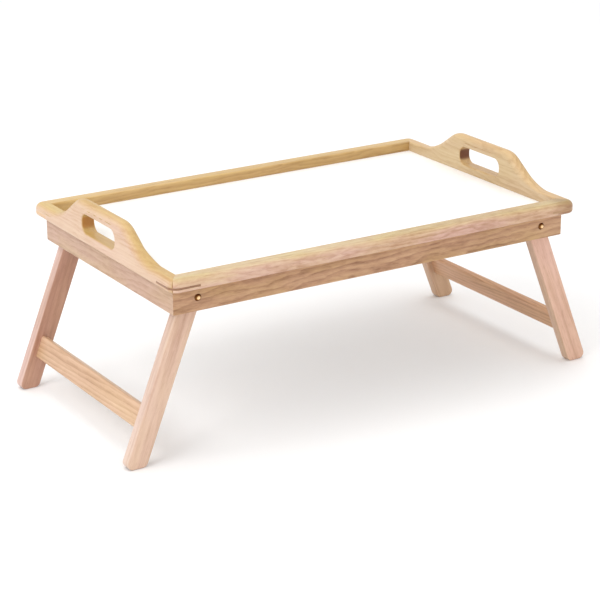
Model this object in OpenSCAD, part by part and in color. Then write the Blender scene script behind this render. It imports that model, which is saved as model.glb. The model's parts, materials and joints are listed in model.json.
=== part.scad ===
// Folding bed tray table: a rimmed tray with two hand holes, standing on two
// pairs of splayed legs that swing up flat inside the apron.
// +X runs along the tray, -Y is the front, +Z is up. The origin is on the floor
// under the middle of the tray, with the legs open.

/* [Apron] */
// Length of the apron frame over its end boards
apron_l = 600; // [560:1:640]
// Depth of the apron frame over its long boards
apron_d = 357; // [340:1:380]
// Height of the apron boards
apron_h = 34; // [33:0.5:38]
// Height of the leg pivots above the apron's underside
pivot_up = 17.8; // [17:0.1:18.5]
// Thickness of the apron boards
apron_t = 12; // [10:0.5:12.5]

/* [Rim] */
// Height of the rim rails
rim_h = 17.5; // [15:0.5:20]
// Width of the front and back rails, seen from above
long_rail_w = 24; // [22:0.5:25]
// Thickness of the two side boards
side_t = 19; // [17:0.5:20]
// How far the long rails stand out past the apron
long_overhang = 18; // [17:0.5:19]
// How far the side boards stand out past the apron
side_overhang = 11; // [9:0.5:12]
// Radius of the rim's corners, seen from above
corner_r = 12.5; // [10:0.5:14]
// Radius along the rim's outer top edge
top_round = 8; // [4:0.5:8]
// Radius along the rim's outer bottom edge
bottom_round = 3; // [1:0.5:4]

/* [Handles] */
// Height of a handle's top above the rim
handle_rise = 38.5; // [38:0.5:41]
// Distance from the middle of the handle to the centre of its shoulder
shoulder_y = 50.5; // [48:0.5:54]
// Radius of the shoulder
shoulder_r = 40; // [34:0.5:42]
// Slope of the handle's flanks, in degrees
flank_slope = 34.5; // [33:0.5:37]
// Radius of the hollow where a flank runs out into the rim
flank_r = 93; // [80:1:100]
// Length of the hand hole
hole_l = 92; // [85:1:96]
// Height of the hand hole
hole_h = 26; // [24:0.5:27]
// Corner radius of the hand hole
hole_r = 11; // [6:0.5:11.5]
// Depth of the hand hole's lower edge below the rim's top
hole_drop = 3; // [1:0.5:3.5]

/* [Panel] */
// Thickness of the white panel
panel_t = 4; // [3:0.2:5]

/* [Legs] */
// Width of a leg
leg_w = 28; // [24:0.5:30]
// Thickness of a leg
leg_t = 15.5; // [14:0.5:18]
// Length of a leg along its middle, from the pivot down to the floor
leg_l = 231.5; // [215:0.5:240]
// Radius of the corners of a leg's flat foot
foot_r = 8; // [5:0.5:10]
// Angle from upright at which an open leg stands, in degrees
splay = 21.6; // [18:0.1:24]
// Height of the stretcher board, along the leg
stretcher_w = 30.5; // [26:0.5:36]
// Thickness of the stretcher board
stretcher_t = 10; // [9:0.5:12]
// Distance from the pivot to the middle of the stretcher
stretcher_at = 170.5; // [150:0.5:176]

/* [Fittings] */
// Diameter of the pivot bolt's shank
bolt_d = 5; // [4:0.5:6]
// Diameter of the pivot bolt's domed head
bolt_head_d = 9.5; // [8:0.5:11]
// Thickness of the spacer washer between apron and leg
washer_t = 0.7; // [0.5:0.1:1]
// Diameter of the stretcher dowels
dowel_d = 6; // [4:0.5:7]
// Diameter of the pins that hold the rim on the apron
pin_d = 2; // [1.5:0.1:2.2]
// Thickness of the splines let into the rim's corners
spline_t = 2.8; // [2:0.2:3.4]
// Length of a spline along each side of its corner
spline_l = 40; // [30:1:42]
// Height of a spline's middle above the rim's underside
spline_up = 6; // [5:0.5:8]

/* [Hidden] */
$fn = 64;
eps = 0.01;
over = 2;                 // how far cutting shapes run past the wood
run_gap = 0.3;            // gap beside a moving leg
bore_gap = 0.05;          // radial running clearance of a leg on its bolt
dowel_gap = 0.05;         // radial clearance of dowels and pins in their holes
panel_gap = 0.2;          // gap around the panel's edge
run_out = 0.8;            // how far the flank's hollow dips below the rim's top
handle_root = 5;          // height above the rim's underside where the handle starts

pivot_z = leg_l * cos(splay);
apron_z = pivot_z - pivot_up;
rim_z = apron_z + apron_h;
rim_top = rim_z + rim_h;

end_in = apron_l / 2 - apron_t;          // inner face of the end boards
long_in = apron_d / 2 - apron_t;         // inner face of the long boards
side_out = apron_l / 2 + side_overhang;  // outer face of the side boards
side_in = side_out - side_t;
long_out = apron_d / 2 + long_overhang;  // outer face of the long rails
rail_in = long_out - long_rail_w;

// An open leg leans on the lower inner edge of the end board.
pivot_x = end_in - run_gap - pivot_up * tan(splay) - leg_w / 2 / cos(splay);
leg_out = long_in - washer_t - run_gap;  // outer face of a leg
leg_in = leg_out - leg_t;

handle_top = rim_top + handle_rise;
hole_z = rim_top - hole_drop + hole_h / 2;
shoulder_z = handle_top - shoulder_r;
hollow_z = rim_top - run_out + flank_r;
hollow_y = shoulder_y
    + (shoulder_r + flank_r - (hollow_z - shoulder_z) * cos(flank_slope)) / sin(flank_slope);

head_h = 3;
nut_l = 5;
nut_chamfer = 1;
nut_d = 2 * bolt_d;
nut_bore_l = 3.5;                        // how far the bolt reaches into its blind nut
washer_d = 2.4 * bolt_d;
nut_out = leg_in - run_gap;              // face of a nut that looks at its leg
bolt_end = nut_out - nut_bore_l;
dowel_in_leg = 11;
dowel_in_board = 19;
dowel_pitch = stretcher_w / 2;
pin_in_rail = 8;
long_pins = [for (i = [-1:1]) i * apron_l / 3];
end_pins = [for (i = [-1, 1]) i * apron_d / 3];

birch = [0.90, 0.76, 0.56];
beech = [0.82, 0.64, 0.47];
pale = [0.91, 0.75, 0.61];
dark_key = [0.45, 0.30, 0.18];
white = [0.97, 0.97, 0.96];
brass = [0.80, 0.60, 0.28];
steel = [0.70, 0.71, 0.73];

// ---- helpers ----

// Puts a child drawn for the front left corner at any corner: sx and sy are -1 or 1.
module at_corner(sx, sy) {
    mirror([sx > 0 ? 1 : 0, 0, 0])
        mirror([0, sy > 0 ? 1 : 0, 0])
            children();
}

// Turns a 2D outline drawn in (Y, Z) into a board of thickness t, starting at x.
module board_yz(x, t) {
    translate([x, 0, 0])
        rotate([90, 0, 90])
            linear_extrude(t)
                children();
}

// Turns a 2D outline drawn in (X, Z) into a board of thickness t, starting at y.
module board_xz(y, t) {
    translate([0, y + t, 0])
        rotate([90, 0, 0])
            linear_extrude(t)
                children();
}

// The waste outside a round of radius r in the corner of a square edge.
module round_waste(r) {
    difference() {
        square(r + over);
        circle(r);
    }
}

// ---- rim ----

// Section of the rim, w wide: outer face on the right, rounded at top and bottom.
module rim_section(w) {
    difference() {
        square([w, rim_h]);
        translate([w - top_round, rim_h - top_round])
            round_waste(top_round);
        translate([w - bottom_round, bottom_round])
            mirror([0, 1])
                round_waste(bottom_round);
    }
}

// The rounded corner at the back right, where two rails run into each other.
module rim_corner() {
    translate([side_out - corner_r, long_out - corner_r, rim_z])
        rotate_extrude(angle = 90)
            rim_section(corner_r);
}

// The right half of the rim's whole ring, before it is parted at the mitres.
module half_ring() {
    translate([side_in, long_out - corner_r, rim_z])
        rotate([90, 0, 0])
            linear_extrude(2 * (long_out - corner_r))
                rim_section(side_t);
    for (m = [0, 1])
        mirror([0, m, 0]) {
            rim_corner();
            translate([-eps, rail_in, rim_z])
                rotate([90, 0, 90])
                    linear_extrude(side_out - corner_r + eps)
                        rim_section(long_rail_w);
        }
}

// Plan of one rail between its two mitres, which run out through the corners.
// half_in is half its inner length, at is where its inner face lies, and dx and dy
// are the steps across a corner along and across the rail.
module mitred_plan(half_in, at, dx, dy) {
    run = 1.5;
    translate([0, 0, rim_z - over])
        linear_extrude(handle_top - rim_z + 2 * over)
            polygon([
                [-half_in, at], [half_in, at],
                [half_in + run * dx, at + run * dy], [-half_in - run * dx, at + run * dy]
            ]);
}

// A triangular spline across the back right corner.
module spline_blank() {
    translate([0, 0, rim_z + spline_up - spline_t / 2])
        linear_extrude(spline_t)
            polygon([
                [side_out - spline_l, long_out], [side_out, long_out - spline_l],
                [side_out + over, long_out - spline_l], [side_out + over, long_out + over],
                [side_out - spline_l, long_out + over]
            ]);
}

module spline_slots() {
    spline_blank();
    mirror([1, 0, 0])
        spline_blank();
}

// Holes for the pins that run up through the apron into the rim.
module pin_rows(r, top) {
    h = top - apron_z;
    for (x = long_pins, s = [-1, 1])
        translate([x, s * (rail_in + apron_d / 2) / 2, apron_z])
            cylinder(r = r, h = h);
    for (y = end_pins, s = [-1, 1])
        translate([s * (side_in + apron_l / 2) / 2, y, apron_z])
            cylinder(r = r, h = h);
}

module pin_holes() {
    translate([0, 0, -eps])
        pin_rows(pin_d / 2 + dowel_gap, rim_z + pin_in_rail + 2 * eps);
}

// The back rail; the front rail is its mirror image.
module long_rail() {
    difference() {
        intersection() {
            union() {
                half_ring();
                mirror([1, 0, 0])
                    half_ring();
            }
            mitred_plan(side_in, rail_in, side_t, long_rail_w);
        }
        spline_slots();
        pin_holes();
    }
}

// Outline in (Y, Z) of the handle, down into the rim: a flat top, round shoulders,
// straight flanks and a hollow that runs out into the rim on each side.
module handle_outline() {
    c = cos(flank_slope);
    s = sin(flank_slope);
    difference() {
        union() {
            for (m = [0, 1])
                mirror([m, 0])
                    translate([shoulder_y, shoulder_z])
                        circle(shoulder_r);
            polygon([
                [-shoulder_y, handle_top], [shoulder_y, handle_top],
                [shoulder_y + shoulder_r * s, shoulder_z + shoulder_r * c],
                [hollow_y - flank_r * s, hollow_z - flank_r * c],
                [hollow_y, hollow_z - flank_r * c],
                [hollow_y, rim_z + handle_root], [-hollow_y, rim_z + handle_root],
                [-hollow_y, hollow_z - flank_r * c],
                [-hollow_y + flank_r * s, hollow_z - flank_r * c],
                [-shoulder_y - shoulder_r * s, shoulder_z + shoulder_r * c]
            ]);
        }
        for (m = [0, 1])
            mirror([m, 0])
                translate([hollow_y, hollow_z])
                    circle(flank_r);
        translate([-hollow_y, rim_z + handle_root - 2 * shoulder_r])
            square([2 * hollow_y, 2 * shoulder_r]);
    }
}

// Outline in (Y, Z) of the hand hole.
module hand_hole() {
    translate([0, hole_z]) {
        for (y = [-1, 1], z = [-1, 1])
            translate([y * (hole_l / 2 - hole_r), z * (hole_h / 2 - hole_r)])
                circle(hole_r);
        square([hole_l, hole_h - 2 * hole_r], center = true);
        square([hole_l - 2 * hole_r, hole_h], center = true);
    }
}

// The right side board with its handle; the left one is its mirror image.
module side_board() {
    difference() {
        union() {
            intersection() {
                half_ring();
                rotate([0, 0, -90])
                    mitred_plan(rail_in, side_in, long_rail_w, side_t);
            }
            board_yz(side_in, side_t)
                handle_outline();
        }
        board_yz(side_in - over, side_t + 2 * over)
            hand_hole();
        spline_blank();
        mirror([0, 1, 0])
            spline_blank();
        pin_holes();
    }
}

module rim_back() {
    color(birch)
        long_rail();
}

module rim_front() {
    color(birch)
        mirror([0, 1, 0])
            long_rail();
}

module rim_right() {
    color(birch)
        side_board();
}

module rim_left() {
    color(birch)
        mirror([1, 0, 0])
            side_board();
}

// A spline, trimmed flush with the rounded corner of the rim.
module spline() {
    intersection() {
        spline_blank();
        half_ring();
    }
}

module spline_back_right() {
    color(birch)
        spline();
}

module spline_back_left() {
    color(birch)
        mirror([1, 0, 0])
            spline();
}

module spline_front_right() {
    color(birch)
        mirror([0, 1, 0])
            spline();
}

module spline_front_left() {
    color(dark_key)
        mirror([1, 0, 0])
            mirror([0, 1, 0])
                spline();
}

// ---- panel and apron ----

// The panel lies on the inner ledge that the apron's top edge leaves beside the rim.
module tray_panel() {
    color(white)
        translate([-side_in + panel_gap, -rail_in + panel_gap, rim_z])
            cube([2 * (side_in - panel_gap), 2 * (rail_in - panel_gap), panel_t]);
}

// Shank holes through both long boards of the apron, for the pivot bolts.
module bolt_holes() {
    for (s = [-1, 1])
        translate([s * pivot_x, apron_d / 2 + over, pivot_z])
            rotate([90, 0, 0])
                cylinder(d = bolt_d, h = apron_d + 2 * over);
}

// An apron board l long with 45 degree mitres, its outer face at y.
module apron_board(l, y) {
    translate([0, 0, apron_z])
        linear_extrude(apron_h)
            polygon([
                [-l / 2, y], [l / 2, y],
                [l / 2 - apron_t, y - apron_t], [-l / 2 + apron_t, y - apron_t]
            ]);
}

module long_apron() {
    difference() {
        apron_board(apron_l, apron_d / 2);
        bolt_holes();
        pin_holes();
    }
}

module end_apron() {
    difference() {
        rotate([0, 0, -90])
            apron_board(apron_d, apron_l / 2);
        pin_holes();
    }
}

module apron_back() {
    color(beech)
        long_apron();
}

module apron_front() {
    color(beech)
        mirror([0, 1, 0])
            long_apron();
}

module apron_right() {
    color(pale)
        end_apron();
}

module apron_left() {
    color(pale)
        mirror([1, 0, 0])
            end_apron();
}

// Plain steel pins, one group of separate pieces.
module rim_pins() {
    color(steel)
        pin_rows(pin_d / 2, rim_z + pin_in_rail);
}

// ---- legs ----

// Moves a child drawn with the pivot at its origin and the leg hanging straight
// down into the open position of the left pair.
module open_leg() {
    translate([-pivot_x, 0, pivot_z])
        rotate([0, splay, 0])
            children();
}

// Centre of the round at a foot's corner, x across the leg, foot_r above the floor.
function foot_corner(x) = [x, (x * sin(splay) - pivot_z + foot_r) / cos(splay)];

// A leg hanging straight down: a round top, and a foot cut off level with the floor
// that the open leg stands on, with rounded corners.
module leg_outline() {
    c_out = foot_corner(foot_r - leg_w / 2);
    c_in = foot_corner(leg_w / 2 - foot_r);
    to_floor = foot_r * [sin(splay), -cos(splay)];
    circle(d = leg_w);
    polygon([
        [-leg_w / 2, 0], [-leg_w / 2, c_out[1]], c_out + to_floor,
        c_in + to_floor, [leg_w / 2, c_in[1]], [leg_w / 2, 0]
    ]);
    for (c = [c_out, c_in])
        translate(c)
            circle(foot_r);
}

// Dowels between a stretcher and both of its legs, r in radius, for the left pair.
module dowel_rows(r, in_leg, in_board) {
    open_leg()
        for (s = [-1, 1], z = [-1, 1])
            translate([0, s * (leg_in + in_leg), -stretcher_at + z * dowel_pitch / 2])
                rotate([90 * s, 0, 0])
                    cylinder(r = r, h = in_leg + in_board);
}

module dowel_holes() {
    dowel_rows(dowel_d / 2 + dowel_gap, dowel_in_leg + over / 2, dowel_in_board + over / 2);
}

// The back left leg; the others are its mirror images.
module leg() {
    color(pale)
        difference() {
            open_leg()
                board_xz(leg_in, leg_t)
                    leg_outline();
            translate([-pivot_x, leg_out + over, pivot_z])
                rotate([90, 0, 0])
                    cylinder(r = bolt_d / 2 + bore_gap, h = leg_t + 2 * over);
            dowel_holes();
        }
}

module leg_back_left() {
    leg();
}

module leg_front_left() {
    mirror([0, 1, 0])
        leg();
}

module leg_back_right() {
    mirror([1, 0, 0])
        leg();
}

module leg_front_right() {
    mirror([1, 0, 0])
        mirror([0, 1, 0])
            leg();
}

module stretcher() {
    color(birch)
        difference() {
            open_leg()
                translate([-stretcher_t / 2, -leg_in, -stretcher_at - stretcher_w / 2])
                    cube([stretcher_t, 2 * leg_in, stretcher_w]);
            dowel_holes();
        }
}

module stretcher_left() {
    stretcher();
}

module stretcher_right() {
    mirror([1, 0, 0])
        stretcher();
}

module stretcher_dowels_left() {
    color(birch)
        dowel_rows(dowel_d / 2, dowel_in_leg, dowel_in_board);
}

module stretcher_dowels_right() {
    mirror([1, 0, 0])
        stretcher_dowels_left();
}

// ---- pivots ----

// Turns a child drawn along +Z, with the apron's outer face at z = 0 and the
// inside of the table below it, into the back left pivot.
module back_left_pivot() {
    translate([-pivot_x, apron_d / 2, pivot_z])
        rotate([-90, 0, 0])
            children();
}

// A bolt with a low domed head. Its shank ends inside the blind nut.
module pivot_bolt() {
    dome_r = (pow(bolt_head_d / 2, 2) + head_h * head_h) / (2 * head_h);
    color(brass)
        back_left_pivot() {
            intersection() {
                translate([0, 0, head_h - dome_r])
                    sphere(dome_r);
                cylinder(d = bolt_head_d, h = head_h + over);
            }
            translate([0, 0, bolt_end - apron_d / 2])
                cylinder(d = bolt_d, h = apron_d / 2 - bolt_end + eps);
        }
}

module pivot_bolt_back_left() {
    pivot_bolt();
}

module pivot_bolt_front_left() {
    mirror([0, 1, 0])
        pivot_bolt();
}

module pivot_bolt_back_right() {
    mirror([1, 0, 0])
        pivot_bolt();
}

module pivot_bolt_front_right() {
    mirror([1, 0, 0])
        mirror([0, 1, 0])
            pivot_bolt();
}

// Spacer washers between the apron and the legs, one group of separate pieces.
module pivot_washers() {
    color(brass)
        for (sx = [-1, 1], sy = [-1, 1])
            at_corner(sx, sy)
                translate([-pivot_x, -long_in + washer_t, pivot_z])
                    rotate([90, 0, 0])
                        difference() {
                            cylinder(d = washer_d, h = washer_t);
                            translate([0, 0, -over])
                                cylinder(d = bolt_d, h = washer_t + 2 * over);
                        }
}

// Blind nuts on the inner ends of the bolts, one group of separate pieces.
module pivot_nuts() {
    color(brass)
        for (sx = [-1, 1], sy = [-1, 1])
            at_corner(sx, sy)
                translate([-pivot_x, -nut_out, pivot_z])
                    rotate([-90, 0, 0])
                        difference() {
                            union() {
                                cylinder(d = nut_d, h = nut_l - nut_chamfer);
                                translate([0, 0, nut_l - nut_chamfer])
                                    cylinder(d1 = nut_d, d2 = nut_d - 2 * nut_chamfer, h = nut_chamfer);
                            }
                            translate([0, 0, -over])
                                cylinder(d = bolt_d, h = nut_bore_l + over);
                        }
}

rim_front();
rim_back();
rim_left();
rim_right();
spline_front_left();
spline_front_right();
spline_back_left();
spline_back_right();
tray_panel();
apron_front();
apron_back();
apron_left();
apron_right();
rim_pins();
leg_front_left();
leg_back_left();
leg_front_right();
leg_back_right();
stretcher_left();
stretcher_right();
stretcher_dowels_left();
stretcher_dowels_right();
pivot_bolt_front_left();
pivot_bolt_back_left();
pivot_bolt_front_right();
pivot_bolt_back_right();
pivot_washers();
pivot_nuts();
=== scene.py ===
"""Looks of the folding tray table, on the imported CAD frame. Metres, +X along the tray, -Y the front."""

import json
import math

import bmesh
import bpy
from mathutils import Matrix, Vector
from mathutils.geometry import tessellate_polygon


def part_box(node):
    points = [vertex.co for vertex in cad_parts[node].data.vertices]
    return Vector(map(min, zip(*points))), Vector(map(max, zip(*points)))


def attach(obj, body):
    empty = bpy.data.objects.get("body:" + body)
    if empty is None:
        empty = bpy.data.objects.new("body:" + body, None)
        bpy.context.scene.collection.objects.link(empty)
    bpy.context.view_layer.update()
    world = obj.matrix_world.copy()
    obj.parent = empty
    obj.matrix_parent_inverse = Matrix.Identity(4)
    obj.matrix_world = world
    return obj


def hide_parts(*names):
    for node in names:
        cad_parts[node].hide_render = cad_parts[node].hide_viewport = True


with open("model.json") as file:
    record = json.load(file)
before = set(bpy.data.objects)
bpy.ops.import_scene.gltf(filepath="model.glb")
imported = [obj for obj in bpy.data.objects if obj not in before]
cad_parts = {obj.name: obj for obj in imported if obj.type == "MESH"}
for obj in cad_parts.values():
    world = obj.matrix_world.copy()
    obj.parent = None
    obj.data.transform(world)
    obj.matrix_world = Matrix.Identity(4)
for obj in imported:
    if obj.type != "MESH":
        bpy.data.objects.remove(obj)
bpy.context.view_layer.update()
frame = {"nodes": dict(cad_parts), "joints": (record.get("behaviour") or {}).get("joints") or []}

MM = 0.001

# ---- sizes, read from the frame ----

rim_lo, rim_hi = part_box("rim_back")
side_lo, side_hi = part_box("rim_right")
apron_lo, apron_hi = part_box("apron_back")
end_lo, end_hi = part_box("apron_right")
leg_lo, leg_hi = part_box("leg_back_left")
board_lo, board_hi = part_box("stretcher_left")
bolt_lo, bolt_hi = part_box("pivot_bolt_back_left")

rim_z, rim_top = rim_lo.z, rim_hi.z
rail_in, long_out = rim_lo.y, rim_hi.y
side_in, side_out = side_lo.x, side_hi.x
handle_top = side_hi.z
apron_z = apron_lo.z
apron_out_x, apron_out_y = end_hi.x, apron_hi.y
apron_t = apron_hi.y - apron_lo.y
pivot = Vector(frame["joints"][0]["pos_m"])

# ---- shape details that the boxes don't give ----

CORNER_R = 12.5 * MM  # the rim's corners, seen from above
TOP_ROUND = 8 * MM
BOTTOM_ROUND = 4.2 * MM
INNER_ROUND = 3 * MM
HANDLE_ROUND = 9.3 * MM  # both of a handle's long edges, where it stands above the rim
HANDLE_BLEND = 18 * MM  # height over which an edge's rounding grows from the rim's to the handle's
HOLE_ROUND = 2.2 * MM
SEAM = 0.01 * MM  # half the gap where two rails meet at a mitre
MITRE_CLEAR = 4 * MM  # how far the outline's points on the inner edge stay off the mitre

# a handle: flat top, round shoulders, straight flanks, and hollows that run out into the rim
SHOULDER_Y = 50.5 * MM
SHOULDER_R = 40 * MM
FLANK_SLOPE = math.radians(34.5)
FLANK_R = 93 * MM
RUN_OUT = 0.8 * MM  # how far a hollow would dip below the rim's top
HOLE_L = 92 * MM
HOLE_H = 26 * MM
HOLE_R = 11 * MM
HOLE_DROP = 3 * MM  # the hand hole's lower edge below the rim's top

# corner splines: leg length, height of the middle above the rim's underside, thickness
SPLINE_L = 40 * MM
SPLINE_UP = 6 * MM
SPLINE_T = 2.8 * MM
SLOT_DEPTH = 1 * MM  # how deep the rail is cut beside the spline

PIN_R = 1.05 * MM
PIN_APART = 4 * MM  # points closer than this belong to one pin
APRON_EASE = 1.2 * MM
LEG_EASE = 1.6 * MM
FOOT_R = 8 * MM
STRETCHER_R = 2.2 * MM
BOLT_HEAD_H = 3 * MM
BOLT_SHANK_R = 2.5 * MM
BOLT_LIP = 0.35 * MM
BOLT_CROWN = 0.965  # how much of the dome lies inside the head's softened lip
BOLT_TIP = 0.4 * MM  # chamfer at the end of the shank

# steps of curved edges
ARC_STEPS = 10
ROUND_STEPS = 8
RAIL_STEPS = 12
TOP_STEPS = 6
SHOULDER_STEPS = 12
HOLLOW_STEPS = 16
RUN_STEPS = 3
SLOT_STEPS = 8
EASE_STEPS = 4
LEG_TOP_STEPS = 24
FOOT_STEPS = 8
DOME_STEPS = 14

MERGE = 1e-6  # points closer than this are one point
SHARP_BOARD, SHARP_TURNED = math.radians(35), math.radians(40)

X, Y, Z = Vector((1, 0, 0)), Vector((0, 1, 0)), Vector((0, 0, 1))


# ---- mesh building ----


class Shell:
    """Rows of points and the faces between them, made into one closed mesh."""

    def __init__(self):
        self.points = []
        self.faces = []
        self.smooth = []

    def row(self, points):
        """Add points, and return their numbers."""
        start = len(self.points)
        self.points.extend(Vector(p) for p in points)
        return list(range(start, len(self.points)))

    def strip(self, a, b, closed=False, smooth=True):
        """Faces between two rows with as many points."""
        for i in range(len(a) if closed else len(a) - 1):
            j = (i + 1) % len(a)
            self.faces.append((a[i], a[j], b[j], b[i]))
            self.smooth.append(smooth)

    def flat(self, loop, holes=()):
        """A flat face inside loop, with holes."""
        loops = [self._distinct(ring) for ring in (loop, *holes)]
        ids = [i for ring in loops for i in ring]
        for tri in tessellate_polygon([[self.points[i] for i in ring] for ring in loops]):
            self.faces.append(tuple(ids[i] for i in tri))
            self.smooth.append(False)

    def _distinct(self, ring):
        before = [ring[-1], *ring[:-1]]
        return [i for i, j in zip(ring, before) if (self.points[i] - self.points[j]).length > MERGE]

    def build(self, name, body, place, grain):
        """grain gives each point's place along, across and through the board."""
        bm = bmesh.new()
        verts = [bm.verts.new(p) for p in self.points]
        for ids, smooth in zip(self.faces, self.smooth):
            distinct = list(dict.fromkeys(ids))
            if len(distinct) > 2:
                face = bm.faces.new([verts[i] for i in distinct])
                face.smooth = smooth
        bmesh.ops.remove_doubles(bm, verts=bm.verts, dist=MERGE)
        bmesh.ops.dissolve_degenerate(bm, edges=bm.edges, dist=MERGE / 10)
        loose = [v for v in bm.verts if not v.link_faces]
        bmesh.ops.delete(bm, geom=loose, context="VERTS")
        bmesh.ops.recalc_face_normals(bm, faces=bm.faces)
        mesh = bpy.data.meshes.new(name)
        bm.to_mesh(mesh)
        bm.free()
        coords = mesh.attributes.new("grain", "FLOAT_VECTOR", "POINT")
        for vert, item in zip(mesh.vertices, coords.data):
            item.vector = grain(vert.co)
        mesh.transform(place)
        obj = bpy.data.objects.new(name, mesh)
        bpy.context.scene.collection.objects.link(obj)
        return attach(obj, body)


def axes(origin, a, b, c):
    """The matrix that puts local axes at origin along a, b and c."""
    return Matrix.Translation(origin) @ Matrix((a, b, c)).transposed().to_4x4()


# ---- rim ----


def flat_outline(half):
    """Top line of a long rail: where along it, how high, and which way is out."""
    ends = half - CORNER_R
    shares = [2 * i / RAIL_STEPS - 1 for i in range(RAIL_STEPS + 1)]
    return [(ends * share, rim_top, 0.0, 1.0) for share in shares]


def handle_outline(half):
    """Top line of a side board, over its handle, as in flat_outline."""
    slope_s, slope_c = math.sin(FLANK_SLOPE), math.cos(FLANK_SLOPE)
    shoulder_z = handle_top - SHOULDER_R
    hollow_z = rim_top - RUN_OUT + FLANK_R
    reach = SHOULDER_R + FLANK_R - (hollow_z - shoulder_z) * slope_c
    hollow_y = SHOULDER_Y + reach / slope_s
    start = math.acos((hollow_z - rim_top) / FLANK_R)
    side = [(SHOULDER_Y * i / TOP_STEPS, handle_top, 0.0, 1.0) for i in range(1, TOP_STEPS)]
    for i in range(SHOULDER_STEPS + 1):
        t = FLANK_SLOPE * i / SHOULDER_STEPS
        s, c = math.sin(t), math.cos(t)
        side.append((SHOULDER_Y + SHOULDER_R * s, shoulder_z + SHOULDER_R * c, s, c))
    for i in range(HOLLOW_STEPS + 1):
        t = FLANK_SLOPE + (start - FLANK_SLOPE) * i / HOLLOW_STEPS
        place = (hollow_y - FLANK_R * math.sin(t), hollow_z - FLANK_R * math.cos(t))
        if i == HOLLOW_STEPS:
            t = start / 2
        side.append((*place, math.sin(t), math.cos(t)))
    ends = half - CORNER_R
    last = side[-1][0]
    for i in range(1, RUN_STEPS + 1):
        side.append((last + (ends - last) * i / RUN_STEPS, rim_top, 0.0, 1.0))
    mirrored = [(-a, z, -s, c) for a, z, s, c in reversed(side)]
    return mirrored + [(0.0, handle_top, 0.0, 1.0)] + side


def hole_ring(grow, b):
    """The hand hole's outline, grown by grow, at b through the board."""
    centre_z = rim_top - HOLE_DROP + HOLE_H / 2
    radius = HOLE_R + grow
    points = []
    for quarter, (sy, sz) in enumerate(((1, 1), (-1, 1), (-1, -1), (1, -1))):
        for i in range(ARC_STEPS + 1):
            t = math.radians(90) * (quarter + i / ARC_STEPS)
            y = sy * (HOLE_L / 2 - HOLE_R) + radius * math.cos(t)
            z = centre_z + sz * (HOLE_H / 2 - HOLE_R) + radius * math.sin(t)
            points.append((y, b, z))
    return points


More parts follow.
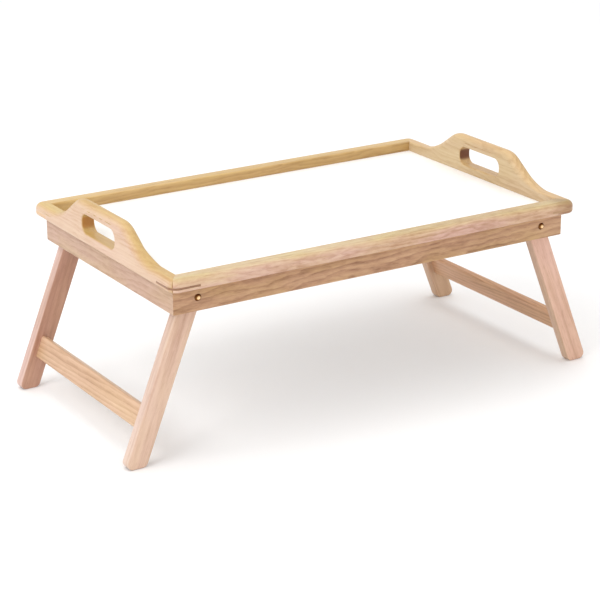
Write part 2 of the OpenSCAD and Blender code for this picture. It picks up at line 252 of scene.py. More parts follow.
def rail(name, body, place, width, other, half, outline, hole, grain):
    """A rail of the rim. Local axes: along it, out of the tray, and up. width is its own, other
    that of the rails it meets, half its outer half length, and hole says if it has a hand hole."""
    shell = Shell()
    diagonal = math.hypot(width, other)
    miss = CORNER_R * (width - other) / diagonal - SEAM
    centre_a, centre_b = half - CORNER_R, width - CORNER_R

    def arc(inset, z, sign):
        """Points round the corner, from the outer face to the mitre."""
        radius = CORNER_R - inset
        sweep = math.atan2(other, width) + math.asin(miss / radius)
        angles = [sweep * (k + 1) / ARC_STEPS for k in range(ARC_STEPS)]
        return [
            (sign * (centre_a + radius * math.sin(t)), centre_b + radius * math.cos(t), z)
            for t in angles
        ]

    def grown(z, base):
        """The round's radius here: base along the rim, larger on the handle."""
        t = min(1.0, max(0.0, (z - rim_top) / HANDLE_BLEND))
        return base + (HANDLE_ROUND - base) * t * t * (3 - 2 * t)

    def outer_row(share_in, share_down):
        """A row of the outer top round, by shares of its radius in from the face and down."""
        straight = []
        for a, z, s, c in outline:
            radius = grown(z, TOP_ROUND)
            sunk = radius * share_down
            straight.append((a - s * sunk, width - radius * share_in, z - c * sunk))
        inset, level = TOP_ROUND * share_in, rim_top - TOP_ROUND * share_down
        left = list(reversed(arc(inset, level, -1)))
        return shell.row(left + straight + arc(inset, level, 1))

    slot_start = half - SPLINE_L
    marks = [slot_start * i / SLOT_STEPS for i in range(SLOT_STEPS + 1)]
    marks += [slot_start + SLOT_DEPTH, centre_a]
    low_stations = [-a for a in reversed(marks[1:])] + marks

    def low_row(inset, z, slot=False):
        """A row of the outer face at height z, or at the bottom of the spline's slot."""

        def depth(a):
            return min(SLOT_DEPTH, max(0.0, abs(a) - slot_start)) if slot else inset

        straight = [(a, width - depth(a), z) for a in low_stations]
        end = SLOT_DEPTH if slot else inset
        return shell.row(list(reversed(arc(end, z, -1))) + straight + arc(end, z, 1))

    def mitre_a(b):
        """How far along the rail the mitre lies at b out of the tray."""
        return half - other + b * other / width - SEAM * diagonal / width

    kept = [k for k, s in enumerate(outline) if abs(s[0]) < half - other - MITRE_CLEAR]

    def inner_row(share_in, share_down):
        """A row of the inner top round, as in outer_row."""
        points = []
        for k in kept:
            a, z, s, c = outline[k]
            radius = grown(z, INNER_ROUND)
            sunk = radius * share_down
            points.append((a - s * sunk, radius * share_in, z - c * sunk))
        b = INNER_ROUND * share_in
        end, level = mitre_a(b), rim_top - INNER_ROUND * share_down
        return shell.row([(-end, b, level)] + points + [(end, b, level)])

    def quarter(k):
        """Shares of a round's radius at its step k."""
        t = math.radians(90) * k / ROUND_STEPS
        return 1 - math.sin(t), 1 - math.cos(t)

    quarters = [quarter(k) for k in range(ROUND_STEPS + 1)]
    inner = [inner_row(down, away) for away, down in quarters]
    outer = [outer_row(away, down) for away, down in quarters]
    slot_hi = rim_z + SPLINE_UP + SPLINE_T / 2
    slot_lo = slot_hi - SPLINE_T
    low = [
        low_row(0.0, slot_hi),
        low_row(0.0, slot_hi, slot=True),
        low_row(0.0, slot_lo, slot=True),
        low_row(0.0, slot_lo),
    ]
    under = [
        low_row(BOTTOM_ROUND * down, rim_z + BOTTOM_ROUND * away) for away, down in quarters
    ]
    base = shell.row([(-mitre_a(0), 0, rim_z), (mitre_a(0), 0, rim_z)])

    for a, b in zip(inner, inner[1:]):
        shell.strip(a, b)
    for a, b in zip(outer, outer[1:]):
        shell.strip(a, b)
    for a, b in zip(low, low[1:]):
        shell.strip(a, b, smooth=False)
    shell.strip(low[-1], under[0], smooth=True)
    for a, b in zip(under, under[1:]):
        shell.strip(a, b)

    # the top, which follows the outline, and its flat ends at the mitres
    first, last = kept[0] + ARC_STEPS, kept[-1] + ARC_STEPS
    shell.strip(inner[-1][1:-1], outer[0][first : last + 1])
    shell.flat([inner[-1][0], inner[-1][1], *reversed(outer[0][: first + 1])])
    shell.flat([inner[-1][-2], inner[-1][-1], *reversed(outer[0][last:])])

    # the outer face with its rounded ends, the inner face, the underside and the mitres
    outer_top, outer_low = outer[-1], low[0]
    shell.strip(outer_top[: ARC_STEPS + 1], outer_low[: ARC_STEPS + 1])
    shell.strip(outer_top[-ARC_STEPS - 1 :], outer_low[-ARC_STEPS - 1 :])
    inner_hole, outer_hole = [], []
    if hole:
        rings = [shell.row(hole_ring(HOLE_ROUND * g, HOLE_ROUND * d)) for g, d in quarters]
        rings += [
            shell.row(hole_ring(HOLE_ROUND * g, width - HOLE_ROUND * d))
            for g, d in reversed(quarters)
        ]
        for a, b in zip(rings, rings[1:]):
            shell.strip(a, b, closed=True)
        inner_hole, outer_hole = [rings[0]], [rings[-1]]
    straight_top = outer_top[ARC_STEPS:-ARC_STEPS]
    straight_low = outer_low[ARC_STEPS:-ARC_STEPS]
    shell.flat([*straight_low, *reversed(straight_top)], outer_hole)
    shell.flat([*base, *reversed(inner[0])], inner_hole)
    shell.flat([*base, *reversed(under[-1])])
    for end in (0, -1):
        shell.flat([base[end]] + [r[end] for r in inner + outer + low + under])
    return shell.build(name, body, place, grain)


# ---- flat boards ----


def inset(outline, by):
    """The outline, taken anticlockwise, moved inwards corner by corner."""
    moved = []
    for i, q in enumerate(outline):
        u = (q - outline[i - 1]).normalized()
        v = (outline[(i + 1) % len(outline)] - q).normalized()
        nu, nv = Vector((-u.y, u.x)), Vector((-v.y, v.x))
        moved.append(q + (nu + nv) * (by / (1 + nu.dot(nv))))
    return moved


def plate(name, body, place, outline, lo, hi, ease, grain, holes=()):
    """A board with this outline from lo to hi along its third axis. ease rounds its two rims,
    and each of the holes is an outline that goes right through."""
    shell = Shell()
    outline = [Vector(p) for p in outline]
    area = sum(p.cross(q) for p, q in zip(outline, outline[1:] + outline[:1]))
    if area < 0:
        outline.reverse()
    rings = []
    for side, level, size in ((1, lo, ease[0]), (-1, hi, ease[1])):
        count = EASE_STEPS if size else 0
        rows = []
        for k in range(count + 1):
            t = math.radians(90) * k / max(count, 1)
            ring = inset(outline, size * (1 - math.sin(t)))
            rows.append([(p.x, p.y, level + side * size * (1 - math.cos(t))) for p in ring])
        rings += rows if side > 0 else rows[::-1]
    ids = [shell.row(ring) for ring in rings]
    for a, b in zip(ids, ids[1:]):
        shell.strip(a, b, closed=True)
    bored = []
    for level in (lo, hi):
        bored.append([shell.row([(x, y, level) for x, y in hole]) for hole in holes])
    for a, b in zip(*bored):
        shell.strip(a, b, closed=True)
    shell.flat(ids[0], bored[0])
    shell.flat(ids[-1], bored[1])
    obj = shell.build(name, body, place, grain)
    obj.data.set_sharp_from_angle(angle=SHARP_BOARD)
    return obj


def disc(x, y, radius, steps=20):
    """A round outline."""
    turn = 2 * math.pi / steps
    return [(x + radius * math.cos(turn * i), y + radius * math.sin(turn * i)) for i in range(steps)]


def turned(name, body, place, profile, steps=40):
    """A piece turned on a lathe from (radius, height) pairs."""
    shell = Shell()
    rings = []
    for radius, height in profile:
        if radius > 0:
            rings.append(shell.row((x, y, height) for x, y in disc(0, 0, radius, steps)))
        else:
            rings.append(shell.row([(0, 0, height)]) * steps)
    for a, b in zip(rings, rings[1:]):
        shell.strip(a, b, closed=True)
    obj = shell.build(name, body, place, lambda p: p)
    obj.data.set_sharp_from_angle(angle=SHARP_TURNED)
    return obj


# ---- materials ----


def linear(rgb):
    """Linear colour from an sRGB one in 0 to 255."""
    parts = [c / 255 for c in rgb]
    return tuple(c / 12.92 if c <= 0.04045 else ((c + 0.055) / 1.055) ** 2.4 for c in parts)


class Graph:
    """A material and short ways to add nodes to it."""

    def __init__(self, name, roughness, **shader):
        self.mat = bpy.data.materials.new(name)
        self.mat.use_nodes = True
        self.tree = self.mat.node_tree
        self.shader = self.tree.nodes["Principled BSDF"]
        self.shader.inputs["Roughness"].default_value = roughness
        for key, value in shader.items():
            self.shader.inputs[key.replace("_", " ")].default_value = value

    def add(self, kind, **settings):
        node = self.tree.nodes.new("ShaderNode" + kind)
        for key, value in settings.items():
            setattr(node, key, value)
        return node

    def feed(self, node, key, value):
        if isinstance(value, bpy.types.NodeSocket):
            self.tree.links.new(value, node.inputs[key])
        else:
            node.inputs[key].default_value = value

    def math(self, operation, a, b=0.0, clamp=False):
        node = self.add("Math", operation=operation, use_clamp=clamp)
        self.feed(node, 0, a)
        self.feed(node, 1, b)
        return node.outputs[0]

    def vector(self, operation, a, b):
        node = self.add("VectorMath", operation=operation)
        self.feed(node, 0, a)
        self.feed(node, 1, b)
        return node.outputs["Value" if operation == "DOT_PRODUCT" else "Vector"]

    def noise(self, place, stretch, detail=2.0, roughness=0.5, warp=0.0):
        node = self.add("TexNoise")
        self.feed(node, "Vector", self.vector("MULTIPLY", place, stretch))
        self.feed(node, "Scale", 1.0)
        self.feed(node, "Detail", detail)
        self.feed(node, "Roughness", roughness)
        self.feed(node, "Distortion", warp)
        return node.outputs["Fac"]

    def spread(self, value, lo, hi, to_lo=0.0, to_hi=1.0):
        node = self.add("MapRange", interpolation_type="SMOOTHSTEP")
        for key, number in zip(
            ("Value", "From Min", "From Max", "To Min", "To Max"), (value, lo, hi, to_lo, to_hi)
        ):
            self.feed(node, key, number)
        return node.outputs["Result"]

    def ramp(self, value, stops):
        node = self.add("ValToRGB")
        items = node.color_ramp.elements
        while len(items) < len(stops):
            items.new(0.5)
        for item, (position, colour) in zip(items, stops):
            item.position = position
            item.color = (*colour, 1)
        self.feed(node, "Fac", value)
        return node.outputs["Color"]

    def mix(self, factor, a, b, blend="MIX"):
        node = self.add("Mix", data_type="RGBA", blend_type=blend)
        self.feed(node, 0, factor)
        self.feed(node, 6, a)
        self.feed(node, 7, b)
        return node.outputs[2]

    def bump(self, height, strength, distance):
        node = self.add("Bump")
        self.feed(node, "Strength", strength)
        self.feed(node, "Distance", distance)
        self.feed(node, "Height", height)
        self.feed(self.shader, "Normal", node.outputs["Normal"])

    def colour(self, value):
        self.feed(self.shader, "Base Color", value)

    def rough(self, value):
        self.feed(self.shader, "Roughness", value)


# Sizes of the wood's noises: how many waves in a metre along, across and through the board
SWAY = (7, 26, 26)
FIBRE = (22, 1100, 1100)
STREAK = (3.5, 170, 170)
PATCH = (6, 26, 26)
MOTTLE = (62, 210, 210)
HUE = (9, 34, 34)
FLECK = (75, 1500, 1500)

END_FROM = 0.72  # how far a face turns towards the end before it shows end grain
END_SHARE = (0.5, 0.38, 0.26)  # how much of its dark tone wood keeps there

# Where along its board the painted shade on an end turned away from the light is full and where it stops,
# in metres from the middle. The front rail's local axis runs to the left, so its right end is at the
# negative end.
END_SHADE_FULL, END_SHADE_NONE = -0.3, -0.264


def wood(
    name,
    tones,
    seed,
    along,
    ring=4.5,
    pith=(-30, 14),
    figure=0.5,
    lean=0.03,
    face=None,
    light_and_shade_tint=None,
    end_share=END_SHARE,
    mottled=0.6,
    sweep=30,
    shaded_end_tint=None,
):
    """Lacquered hardwood. The grain attribute gives the place in the board.

    tones: light, middle and dark tone; seed: which part of the tree the board is from
    along: the direction of the grain, which the end grain's tone needs
    ring: the growth rings' pitch; pith: where the tree's middle lies; both in mm
    figure: how strong the rings show; lean: how much they drift along the board
    face, tint: painted light and painted shade; faces that look along face are multiplied by tint,
    lighter or darker as the light falls on that side
    end_share: how much of its dark tone it keeps on its end grain
    mottled: how mixed its tones and hues are; sweep: how far the rings wander, in mm
    gold: the colour that multiplies painted shade into an end that turns away from the light, darker and
    warmer
    """
    light, mid, dark = tones
    g = Graph(name, 0.4, Coat_Weight=0.16, Coat_Roughness=0.24, Specular_IOR_Level=0.36)
    attribute = g.add("Attribute", attribute_name="grain").outputs["Vector"]
    place = g.vector("ADD", attribute, (seed * 0.731, seed * 0.117, seed * 0.053))
    parts = g.add("SeparateXYZ")
    g.feed(parts, 0, attribute)
    lengthways, crossways, throughways = parts.outputs

    # growth rings round the pith, drawn out along the board into long tongues
    across = g.math("ADD", crossways, -pith[0] * MM)
    through = g.math("ADD", throughways, -pith[1] * MM)
    square = g.math("ADD", g.math("POWER", across, 2), g.math("POWER", through, 2))
    drift = g.math("MULTIPLY", lengthways, lean)
    wander = g.math("MULTIPLY", g.noise(place, SWAY, 3, 0.55), sweep * MM)
    grown = g.math("ADD", g.math("ADD", g.math("SQRT", square), drift), wander)
    phase = g.math("FRACT", g.math("MULTIPLY", grown, 1 / (ring * MM)))
    rings = g.math("MULTIPLY", g.spread(phase, 0.15, 0.86), g.spread(phase, 0.88, 1.0, 1.0, 0.0))

    # fibres, broader streaks, short mottled flecks and slow changes of tone and of hue
    fibre = g.noise(place, FIBRE, 3, 0.6)
    streak = g.noise(place, STREAK, 3, 0.55, 0.3)
    patch = g.noise(place, PATCH, 2, 0.5)
    mottle = g.noise(place, MOTTLE, 3, 0.62, 0.4)
    hue = g.spread(g.noise(place, HUE, 2, 0.5), 0.36, 0.64)
    fleck = g.spread(g.noise(place, FLECK, 1, 0.5), 0.66, 0.74)

    tone = g.math("MULTIPLY", rings, figure)
    for noise, share in ((fibre, 0.5), (streak, 0.75), (patch, 0.9), (mottle, 1.2 * mottled)):
        tone = g.math("ADD", tone, g.math("MULTIPLY", g.math("SUBTRACT", noise, 0.5), share))
    tone = g.math("ADD", tone, 0.5 - figure * 0.4, clamp=True)
    body = g.ramp(tone, ((0.0, linear(light)), (0.5, linear(mid)), (1.0, linear(dark))))
    zones = g.mix(hue, (1.02, 0.98, 1.05, 1), (1.0, 1.0, 0.88, 1))
    body = g.mix(mottled, body, zones, "MULTIPLY")
    body = g.mix(g.math("MULTIPLY", fleck, 0.35), body, (*linear(dark), 1), "MULTIPLY")

    facing = g.add("TexCoord").outputs["Normal"]
    # painted light and painted shade: faces that look along face are multiplied by the tint, as light
    # falls on that side
    if face:
        towards = g.math("MAXIMUM", g.vector("DOT_PRODUCT", facing, face), 0.0)
        body = g.mix(g.math("POWER", towards, 2), body, (*light_and_shade_tint, 1), "MULTIPLY")
    # painted shade: towards the front rail's right end, which is turned away from the light, the colour
    # is multiplied darker
    if shaded_end_tint:
        end_shading = g.spread(lengthways, END_SHADE_FULL, END_SHADE_NONE, 1.0, 0.0)
        body = g.mix(end_shading, body, (*shaded_end_tint, 1), "MULTIPLY")

    # end grain drinks the finish and turns dark; in the side boards' hand holes its tone also holds
    # painted light and painted shade
    end = g.math("ABSOLUTE", g.vector("DOT_PRODUCT", facing, tuple(along)))
    end = g.spread(end, END_FROM, 1.0)
    deep = tuple(c * share for c, share in zip(linear(dark), end_share))
    body = g.mix(g.math("MULTIPLY", end, 0.92), body, (*deep, 1))
    g.colour(body)

    rough = g.math("ADD", g.math("MULTIPLY", fibre, 0.16), 0.3)
    g.rough(g.math("ADD", rough, g.math("MULTIPLY", end, 0.2)))
    height = g.math("ADD", g.math("MULTIPLY", fibre, 0.7), g.math("MULTIPLY", rings, 0.3))
    height = g.math("SUBTRACT", height, g.math("MULTIPLY", fleck, 0.5))
    g.bump(height, 0.25, 0.12 * MM)
    return g.mat


def laminate(name):
    """White laminate: a faint pebbled skin and barely seen clouds and wipe marks."""
    g = Graph(name, 0.35, Specular_IOR_Level=0.35)
    place = g.add("TexCoord").outputs["Object"]
    cloud = g.noise(place, (9, 9, 9), 3, 0.5)
    g.colour(g.ramp(cloud, ((0.3, (0.93, 0.93, 0.925)), (0.7, (0.955, 0.955, 0.95)))))
    wipe = g.noise(place, (40, 60, 40), 4, 0.6)
    g.rough(g.spread(wipe, 0.3, 0.75, 0.32, 0.38))
    pebble = g.noise(place, (2200, 2200, 2200), 2, 0.5)
    g.bump(pebble, 0.12, 0.05 * MM)
    return g.mat


def metal(name, bright, wear_and_shade, roughness, brushed):
    """Metal with a soft polish, cloudy tone and fine marks."""
    g = Graph(name, roughness, Metallic=1.0)
    place = g.add("TexCoord").outputs["Object"]
    cloud = g.noise(place, (420, 420, 420), 4, 0.6)
    g.colour(g.ramp(cloud, ((0.35, linear(bright)), (0.7, linear(wear_and_shade)))))
    marks = g.noise(place, brushed, 3, 0.6)
    g.rough(g.spread(marks, 0.3, 0.7, roughness * 0.75, roughness * 1.4))
    g.bump(marks, 0.12, 0.03 * MM)
    return g.mat


def bolt_brass(name):
    """Brass with a painted highlight on the crown of the head that turns to a painted dark reflection
    towards its lip.
    """
    g = Graph(name, 0.22, Metallic=1.0)
    place = g.add("Attribute", attribute_name="grain").outputs["Vector"]
    off_axis = g.add("VectorMath", operation="LENGTH")
    g.feed(off_axis, 0, g.vector("MULTIPLY", place, (1, 1, 0)))
    cloud = g.noise(place, (700, 700, 700), 3, 0.6)
    reach = g.math("ADD", off_axis.outputs["Value"], g.math("MULTIPLY", cloud, 1.4 * MM))
    # painted highlight and painted dark reflection: by distance from the axis, the crown's colour is a
    # painted highlight and the slope's and lip's colours are painted dark reflection
    wear_and_shade = g.spread(reach, 2.2 * MM, 4.0 * MM)
    crown, slope, lip = (250, 214, 164), (190, 134, 76), (112, 72, 38)
    g.colour(g.ramp(wear_and_shade, ((0.0, linear(crown)), (0.5, linear(slope)), (1.0, linear(lip)))))
    g.rough(g.spread(cloud, 0.3, 0.7, 0.14, 0.34))
    g.bump(cloud, 0.1, 0.03 * MM)
    return g.mat


def spline_wood(name, light, dark):
    """Wood with fine streaks, for the corner splines."""
    g = Graph(name, 0.42, Coat_Weight=0.2, Coat_Roughness=0.25)
    place = g.add("TexCoord").outputs["Object"]
    streak = g.noise(place, (160, 160, 1400), 4, 0.6, 0.4)
    g.colour(g.ramp(streak, ((0.3, linear(light)), (0.7, linear(dark)))))
    g.rough(g.spread(streak, 0.3, 0.7, 0.36, 0.52))
    g.bump(streak, 0.2, 0.06 * MM)
    return g.mat


def dress(obj, mat):
    """Give the object this one material."""
    obj.data.materials.clear()
    obj.data.materials.append(mat)


def finish_piece(obj, mat, slot, *nodes):
    """Dress a new piece and hide the CAD nodes that it stands for. slot is not used."""
    dress(obj, mat)
    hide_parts(*nodes)


# ---- the pieces ----

# Each board's light, middle and dark tone. Where a board's faces that look one way carry painted light or
# painted shade, that way and the tint follow.
UP, FRONT, LEFT = (0, 0, 1), (0, -1, 0), (-1, 0, 0)
PLAIN = (None, None)
LONG_APRON = ((204, 166, 125), (184, 143, 105), (144, 102, 70), *PLAIN)
TONES = {
    "front_rail": ((223, 194, 167), (210, 173, 150), (184, 141, 114), UP, (0.84, 0.95, 0.69)),
    "back_rail": ((205, 171, 113), (190, 153, 96), (164, 125, 73), UP, (1.09, 1.15, 1.19)),
    "left_side_board": ((208, 180, 118), (198, 165, 105), (179, 137, 77), LEFT, (1.12, 1.15, 2.16)),
    "right_side_board": ((216, 186, 138), (203, 169, 120), (173, 134, 85), LEFT, (0.94, 1.03, 1.25)),
    "front_apron": LONG_APRON,
    "back_apron": LONG_APRON,
    "left_apron": ((198, 165, 140), (186, 152, 125), (163, 122, 94), *PLAIN),
    "right_apron": ((216, 178, 142), (199, 158, 122), (166, 122, 88), *PLAIN),
    "left_front_leg": ((224, 202, 187), (211, 184, 166), (184, 150, 130), FRONT, (1.1, 1.03, 0.97)),
    "left_back_leg": ((227, 200, 189), (207, 174, 160), (175, 137, 122), FRONT, (0.79, 0.63, 0.52)),
    "right_front_leg": ((216, 187, 161), (198, 164, 138), (170, 132, 104), FRONT, (1.28, 1.22, 1.34)),
    "right_back_leg": ((221, 187, 158), (202, 165, 134), (173, 132, 102), *PLAIN),
    "left_stretcher": ((219, 186, 154), (202, 165, 132), (169, 129, 94), *PLAIN),
    "right_stretcher": ((220, 176, 140), (201, 156, 120), (167, 122, 87), *PLAIN),
}

# How mixed a board's tones are
MOTTLED = {
    "front_rail": 1.0,
    "front_apron": 0.95,
    "back_apron": 0.95,
    "left_apron": 0.8,
    "right_apron": 0.8,
}

# How much of its dark tone a side board keeps on its end grain, in the hand hole: the end grain's own
# dark tone, with painted shade deep on the right board and painted light on the left one
END_GRAIN_AND_SHADE = {"left_side_board": (0.95, 0.74, 0.5), "right_side_board": (0.3, 0.1, 0.02)}

# The colour of the painted shade on a rail's right end, which turns away from the light
SHADED_END_TINTS = {"front_rail": (0.64, 0.58, 0.43)}


def board_wood(name, seed, along, ring, pith, figure, lean=0.03):
    """The wood of one board of the table."""
    *tones, face, light_and_shade_tint = TONES[name]
    return wood(
        name + "_wood",
        tones,
        seed,
        along,
        ring,
        pith,
        figure,
        lean,
        face,
        light_and_shade_tint,
        end_share=END_GRAIN_AND_SHADE.get(name, END_SHARE),
        mottled=MOTTLED.get(name, 0.35),
        sweep=9 if name.endswith(("leg", "stretcher")) else 30,
        shaded_end_tint=SHADED_END_TINTS.get(name),
    )


def rail_grain(p):
    """A rail's grain as seen on its top."""
    return p.x, p.y, p.z - rim_z


def board_grain(p):
    """A side board's grain as seen on its face."""
    return p.x, p.z - rim_z, p.y


long_w, side_w = long_out - rail_in, side_out - side_in
rim_pieces = (
    ("front_rail", "rim_front", Vector((0, -rail_in, 0)), -X, -Y, True),
    ("back_rail", "rim_back", Vector((0, rail_in, 0)), X, Y, True),
    ("left_side_board", "rim_left", Vector((-side_in, 0, 0)), Y, -X, False),
    ("right_side_board", "rim_right", Vector((side_in, 0, 0)), -Y, X, False),
)
for number, (name, node, origin, a, b, is_long) in enumerate(rim_pieces):
    width, other, half = (long_w, side_w, side_out) if is_long else (side_w, long_w, long_out)
    outline = flat_outline(half) if is_long else handle_outline(half)
    obj = rail(
        name,
        "tray",
        axes(origin, a, b, Z),
        width,
        other,
        half,
        outline,
        not is_long,
        rail_grain if is_long else board_grain,
    )
    figure = 0.26 if is_long else 0.18
    pith = (-22, 31) if is_long else (-40, 60)
    mat = board_wood(name, number + 1, a, 5.0, pith, figure)
    finish_piece(obj, mat, "rail_wood", node)


def pin_centres():
    """Middles of the steel pins in plan, from the points of their CAD node."""
    points = {(round(v.co.x, 5), round(v.co.y, 5)) for v in frame["nodes"]["rim_pins"].data.vertices}
    groups = []
    for x, y in sorted(points):
        for group in groups:
            if math.hypot(x - group[0][0], y - group[0][1]) < PIN_APART:
                group.append((x, y))
                break
        else:
            groups.append([(x, y)])
    middles = []
    for group in groups:
        xs, ys = zip(*group)
        middles.append(Vector(((min(xs) + max(xs)) / 2, (min(ys) + max(ys)) / 2, 0)))
    return middles


# The apron's boards are mitred at the corners. Their undersides show the ends of the rim's pins.
for number, (side, a, b) in enumerate(
    (("front", -X, -Y), ("back", X, Y), ("left", Y, -X), ("right", -Y, X))
):
    long_board = side in ("front", "back")
    half, out = (apron_out_x, apron_out_y) if long_board else (apron_out_y, apron_out_x)
    inner_half, inner = half - apron_t, out - apron_t
    outline = [(-half, out), (half, out), (inner_half, inner), (-inner_half, inner)]
    in_board = [p for p in pin_centres() if inner < p.dot(b) < out]
    obj = plate(
        side + "_apron",
        "tray",
        axes(Vector((0, 0, 0)), a, b, Z),
        outline,
        apron_z,
        rim_z,
        (APRON_EASE, 0),
        lambda p: (p.x, p.z - apron_z, p.y),
        [disc(p.dot(a), p.dot(b), PIN_R) for p in in_board],
    )
    figure = 0.36 if side == "front" else 0.28
    pith = (-26, out / MM - 34)
    mat = board_wood(side + "_apron", number + 7, a, 6.5, pith, figure, 0.045)
    finish_piece(obj, mat, "apron_wood", "apron_" + side)

# The legs: local axes out from the tray's middle, down the leg, and along Y.
leg_w = 2 * (leg_hi.z - pivot.z)
leg_in, leg_out = leg_lo.y, leg_hi.y
board_mid = (board_hi + board_lo) / 2
to_board = Vector((board_mid.x - pivot.x, 0, board_mid.z - pivot.z))
board_at = to_board.length
down = to_board.normalized()
lean = math.atan2(-down.x, -down.z)
span = board_hi - board_lo
cross = math.cos(lean) ** 2 - math.sin(lean) ** 2
board_w = (span.z * math.cos(lean) - span.x * math.sin(lean)) / cross
board_t = (span.x * math.cos(lean) - span.z * math.sin(lean)) / cross


def leg_outline(side):
    """Outline of a leg, across it and down it: a round top and a foot cut level with the floor."""
    points = []
    for i in range(LEG_TOP_STEPS + 1):
        t = math.pi * (1 + i / LEG_TOP_STEPS)
        points.append((leg_w / 2 * math.cos(t), leg_w / 2 * math.sin(t)))
    floor_angle = math.pi / 2 + side * lean
    for sign, start, stop in ((1, 0.0, floor_angle), (-1, floor_angle, math.pi)):
        x = sign * (leg_w / 2 - FOOT_R)
        y = (pivot.z - FOOT_R + side * x * math.sin(lean)) / math.cos(lean)
        for i in range(FOOT_STEPS + 1):
            t = start + (stop - start) * i / FOOT_STEPS
            points.append((x + FOOT_R * math.cos(t), y + FOOT_R * math.sin(t)))
    return points


def rounded_bar(width, height, radius, steps=5):
    """A rectangle's outline with round corners."""
    points = []
    for quarter, (sx, sy) in enumerate(((1, 1), (-1, 1), (-1, -1), (1, -1))):
        for i in range(steps + 1):
            t = math.radians(90) * (quarter + i / steps)
            x = sx * (width / 2 - radius) + radius * math.cos(t)
            points.append((x, sy * (height / 2 - radius) + radius * math.sin(t)))
    return points


for number, (end, sx) in enumerate((("left", 1), ("right", -1))):
    hang = Vector((down.x * sx, 0, down.z))
    out = Vector((hang.z, 0, -hang.x))
    place = axes(Vector((pivot.x * sx, 0, pivot.z)), out, hang, out.cross(hang))
    through = out.cross(hang).y  # +1 or -1: which way the third axis points along Y
    for k, (part, sy) in enumerate((("front", -1), ("back", 1))):
        lo, hi = sorted((sy * through * leg_in, sy * through * leg_out))
        obj = plate(
            f"{end}_{part}_leg",
            end + "_legs",
            place,
            leg_outline(sx),
            lo,
            hi,
            (LEG_EASE, LEG_EASE),
            lambda p: (p.y, p.x, p.z),
        )
        pith = (-34, sy * through * leg_in / MM - 40)
        mat = board_wood(f"{end}_{part}_leg", 13 + 2 * number + k, hang, 5.5, pith, 0.13)
        finish_piece(obj, mat, "leg_wood", f"leg_{part}_{end}")
    obj = plate(
        end + "_stretcher",
        end + "_legs",
        place @ Matrix.Translation((0, board_at, 0)),
        rounded_bar(board_t, board_w, STRETCHER_R),
        -leg_in,
        leg_in,
        (0, 0),
        lambda p: (p.z, p.y, p.x),
    )
    mat = board_wood(end + "_stretcher", 21 + number, Y, 4.5, (-20, 22), 0.3)
    finish_piece(obj, mat, "rail_wood", "stretcher_" + end)


# Domed bolts: the head with a softened lip, then the shank.
bolt_mat = bolt_brass("bolt_brass")
brass = metal("brass", (214, 164, 84), (176, 122, 58), 0.2, (900, 900, 900))
head_r = (bolt_hi.x - bolt_lo.x) / 2
dome_r = (head_r**2 + BOLT_HEAD_H**2) / (2 * BOLT_HEAD_H)
crown_angle = math.asin(head_r / dome_r) * BOLT_CROWN
shank_end = bolt_lo.y - apron_out_y
bolt = []
for i in range(DOME_STEPS + 1):
    t = crown_angle * i / DOME_STEPS
    bolt.append((dome_r * math.sin(t), BOLT_HEAD_H - dome_r + dome_r * math.cos(t)))
lip_r = bolt[-1][0]
bolt += [
    (lip_r + BOLT_LIP * 0.3, BOLT_LIP * 0.5),
    (lip_r, 0.0),
    (BOLT_SHANK_R, 0.0),
    (BOLT_SHANK_R, shank_end + BOLT_TIP),
    (BOLT_SHANK_R - BOLT_TIP, shank_end),
    (0.0, shank_end),
]
for end, sx in (("left", -1), ("right", 1)):
    for part, sy in (("front", -1), ("back", 1)):
        origin = Vector((abs(pivot.x) * sx, apron_out_y * sy, pivot.z))
        outwards = Y * sy
        place = axes(origin, Z.cross(outwards), Z, outwards)
        obj = turned(f"{end}_{part}_bolt", "tray", place, bolt)
        finish_piece(obj, bolt_mat, "brass_fitting", f"pivot_bolt_{part}_{end}")

# CAD nodes that keep their shape
dark_spline = spline_wood("dark_spline_wood", (166, 120, 86), (112, 74, 50))
pale_spline = spline_wood("pale_spline_wood", (226, 190, 150), (204, 164, 122))
golden_spline = spline_wood("golden_spline_wood", (188, 150, 112), (164, 124, 86))
steel = metal("pin_steel", (190, 192, 196), (158, 160, 166), 0.3, (1500, 1500, 200))
white = laminate("white_laminate")
dowel_mat = wood("dowel_wood", ((230, 196, 152), (214, 176, 132), (184, 142, 98)), 30, Y)
for node, mat in (
    ("spline_front_left", dark_spline),
    ("spline_front_right", golden_spline),
    ("spline_back_left", pale_spline),
    ("spline_back_right", pale_spline),
    ("pivot_washers", brass),
    ("pivot_nuts", brass),
    ("rim_pins", steel),
    ("tray_panel", white),
    ("stretcher_dowels_left", dowel_mat),
    ("stretcher_dowels_right", dowel_mat),
):
    dress(frame["nodes"][node], mat)

# ---- stage, light and camera ----

scene = bpy.context.scene
scene.view_settings.view_transform = "Standard"

FLOOR_HALF = 14.0
floor_mesh = bpy.data.meshes.new("floor")
corners = [(-1, -1), (1, -1), (1, 1), (-1, 1)]
floor_mesh.from_pydata([(x * FLOOR_HALF, y * FLOOR_HALF, 0) for x, y in corners], [], [(0, 1, 2, 3)])
floor = bpy.data.objects.new("floor", floor_mesh)
scene.collection.objects.link(floor)
pale = Graph("pale_floor", 0.9, Specular_IOR_Level=0.1)
pale.colour((0.93, 0.93, 0.93, 1))
floor_mesh.materials.append(pale.mat)

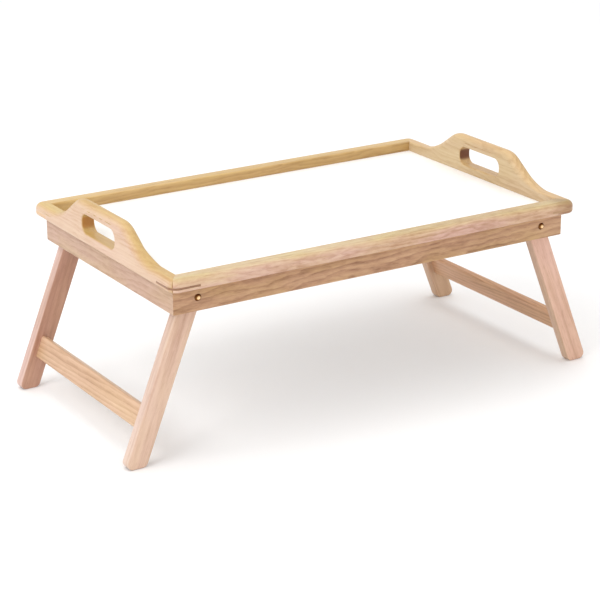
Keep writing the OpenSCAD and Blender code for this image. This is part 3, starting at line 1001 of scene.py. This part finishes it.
SKY, KEY_W, TOP_W = 0.92, 46, 28  # the sky's strength and the two softboxes' watts
AIM = (0, 0, 0.15)
world = bpy.data.worlds.new("studio")
world.use_nodes = True
scene.world = world
backdrop = world.node_tree.nodes["Background"]
backdrop.inputs["Color"].default_value = (1, 1, 1, 1)
backdrop.inputs["Strength"].default_value = SKY


def softbox(name, place, size, energy):
    """A square area light at place that faces the tray."""
    light = bpy.data.lights.new(name, "AREA")
    light.shape = "SQUARE"
    light.size = size
    light.energy = energy
    obj = bpy.data.objects.new(name, light)
    obj.location = place
    obj.rotation_euler = (Vector(AIM) - Vector(place)).to_track_quat("-Z", "Y").to_euler()
    scene.collection.objects.link(obj)


softbox("key", (-2.6, -0.5, 2.6), 2.2, KEY_W)
softbox("top", (0.4, 0.6, 3.6), 2.6, TOP_W)

# The camera: its angles, its focal length in pixels of the 600 px wide picture, how far it stands
# from the point that it faces, and how far it is slid right and up
IMAGE_PX = 600
SENSOR_MM = 36
AZIMUTH, ELEVATION, ROLL = math.radians(-31.84), math.radians(19.73), math.radians(-0.25)
FOCAL_PX = 2020.54
DISTANCE = 2765.82 * MM
SLIDE = (-6.43 * MM, -39.53 * MM)
AIM_Z = 148.552 * MM
back = Vector(
    (
        math.sin(AZIMUTH) * math.cos(ELEVATION),
        -math.cos(AZIMUTH) * math.cos(ELEVATION),
        math.sin(ELEVATION),
    )
)
level = Vector((math.cos(AZIMUTH), math.sin(AZIMUTH), 0))
upward = back.cross(level)
right = level * math.cos(ROLL) + upward * math.sin(ROLL)
up = -level * math.sin(ROLL) + upward * math.cos(ROLL)
eye = Vector((0, 0, AIM_Z)) + right * SLIDE[0] + up * SLIDE[1] + back * DISTANCE
camera_data = bpy.data.cameras.new("camera")
camera_data.sensor_width = SENSOR_MM
camera_data.lens = FOCAL_PX / IMAGE_PX * SENSOR_MM
camera_data.clip_start, camera_data.clip_end = 0.05, 60
camera = bpy.data.objects.new("camera", camera_data)
scene.collection.objects.link(camera)
camera.matrix_world = axes(eye, right, up, back)
scene.camera = camera
